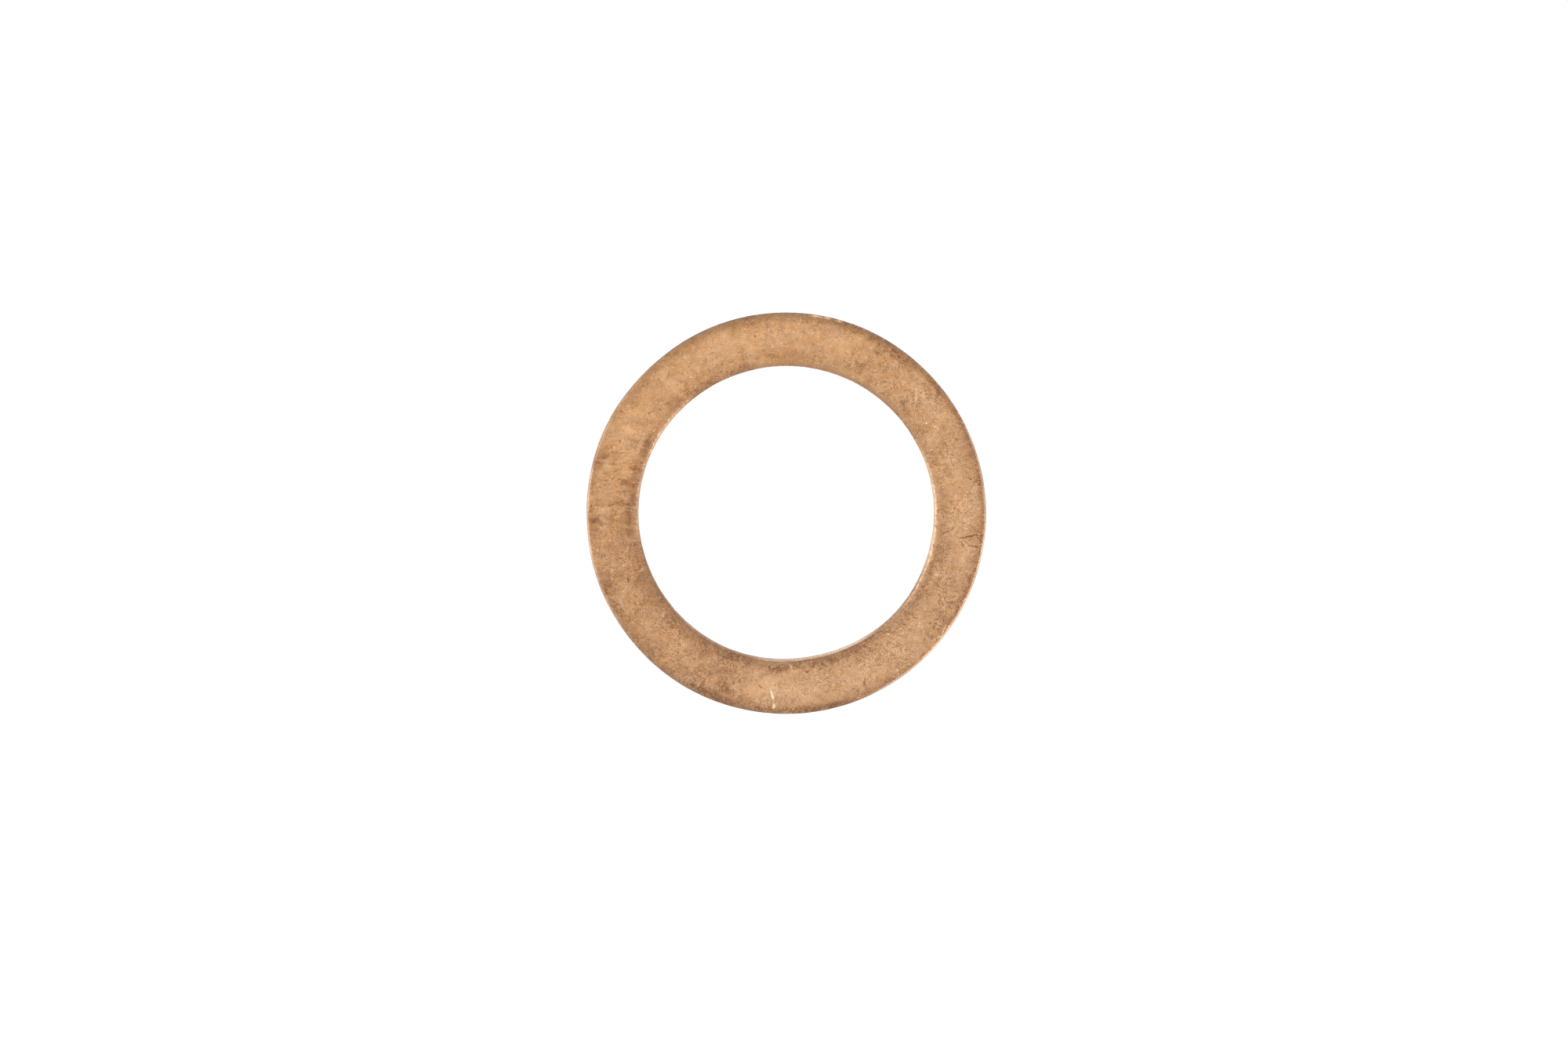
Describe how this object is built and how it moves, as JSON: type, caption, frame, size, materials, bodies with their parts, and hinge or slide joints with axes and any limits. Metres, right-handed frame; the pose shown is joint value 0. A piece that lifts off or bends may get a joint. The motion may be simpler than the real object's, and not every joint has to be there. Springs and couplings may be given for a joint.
{
  "type": "copper crush washer",
  "caption": "Flat soft copper ring, blanked with a rolled upper edge and tumbled, that is crushed under a screw plug or fitting to seal its thread.",
  "frame": {"origin": "centre of the lower sealing face, on the bore axis", "axes": "+Z along the bore axis towards the upper face, whose edges carry the die roll; +Y to the top of the picture"},
  "size_m": [0.022, 0.022, 0.0015],
  "materials": {
    "copper": "satin"
  },
  "bodies": {
    "root": {"copper_washer": "copper"}
  },
  "joints": []
}
